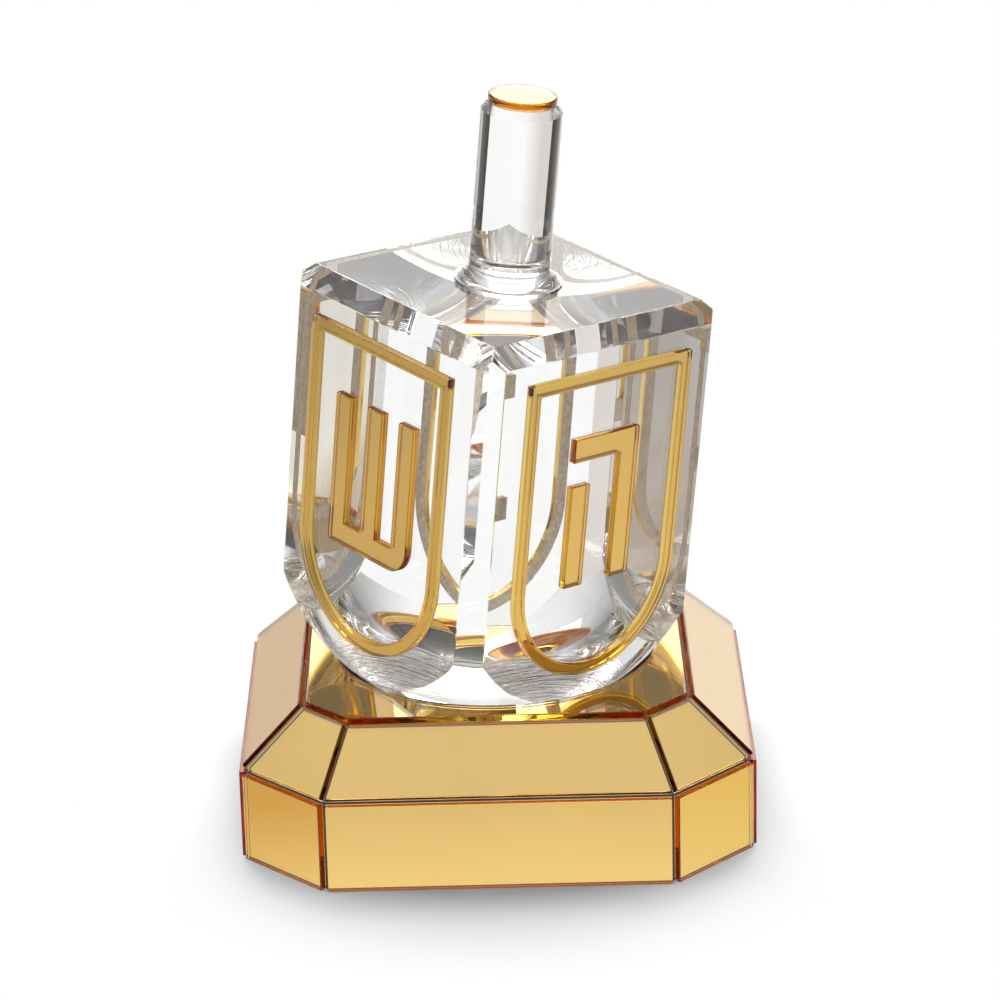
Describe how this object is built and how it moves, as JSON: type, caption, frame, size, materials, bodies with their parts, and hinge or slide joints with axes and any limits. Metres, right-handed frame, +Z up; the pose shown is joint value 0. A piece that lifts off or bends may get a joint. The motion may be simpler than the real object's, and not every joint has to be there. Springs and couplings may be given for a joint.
{
  "type": "dreidel",
  "caption": "Clear square spinning top with a domed underside, round handle and gold letters in shield frames, leaning in the round seat of a mirror-tiled octagonal stand.",
  "frame": {"origin": "middle of the underside of the stand's felt", "axes": "+Z up; -Y the front, with the long front tiles facing it; the dreidel leans toward +X"},
  "size_m": [0.0666, 0.0666, 0.0963],
  "materials": {
    "gold_mirror": "polished gold mirror acrylic with clear amber edges",
    "crystal": "polished optical crystal, ground on the dome",
    "core_board": "matt grey moulded core",
    "felt": "pressed felt"
  },
  "bodies": {
    "stand": {"base_pad": "felt", "base_core": "core_board", "top_plate": "gold_mirror", "wall_front": "gold_mirror", "wall_front_right": "gold_mirror", "wall_right": "gold_mirror", "wall_back_right": "gold_mirror", "wall_back": "gold_mirror", "wall_back_left": "gold_mirror", "wall_left": "gold_mirror", "wall_front_left": "gold_mirror", "bevel_front": "gold_mirror", "bevel_front_right": "gold_mirror", "bevel_right": "gold_mirror", "bevel_back_right": "gold_mirror", "bevel_back": "gold_mirror", "bevel_back_left": "gold_mirror", "bevel_left": "gold_mirror", "bevel_front_left": "gold_mirror"},
    "handle": {"handle_rod": "crystal", "handle_cap": "gold_mirror"},
    "block": {"crystal_block": "crystal", "shield_shin": "gold_mirror", "shield_he": "gold_mirror", "shield_gimel": "gold_mirror", "shield_nun": "gold_mirror", "letter_shin": "gold_mirror", "letter_he": "gold_mirror", "letter_gimel": "gold_mirror", "letter_nun": "gold_mirror", "letter_he_leg": "gold_mirror"}
  },
  "joints": [
    {"name": "lift", "type": "slide", "parent": "stand", "child": "handle", "axis": [0, 0, 1], "range_m": [0, 0.06]},
    {"name": "spin", "type": "hinge", "parent": "handle", "child": "block", "pos_m": [0, 0, 0.0418], "axis": [0.0963, -0.0307, 0.9949], "continuous": true}
  ]
}
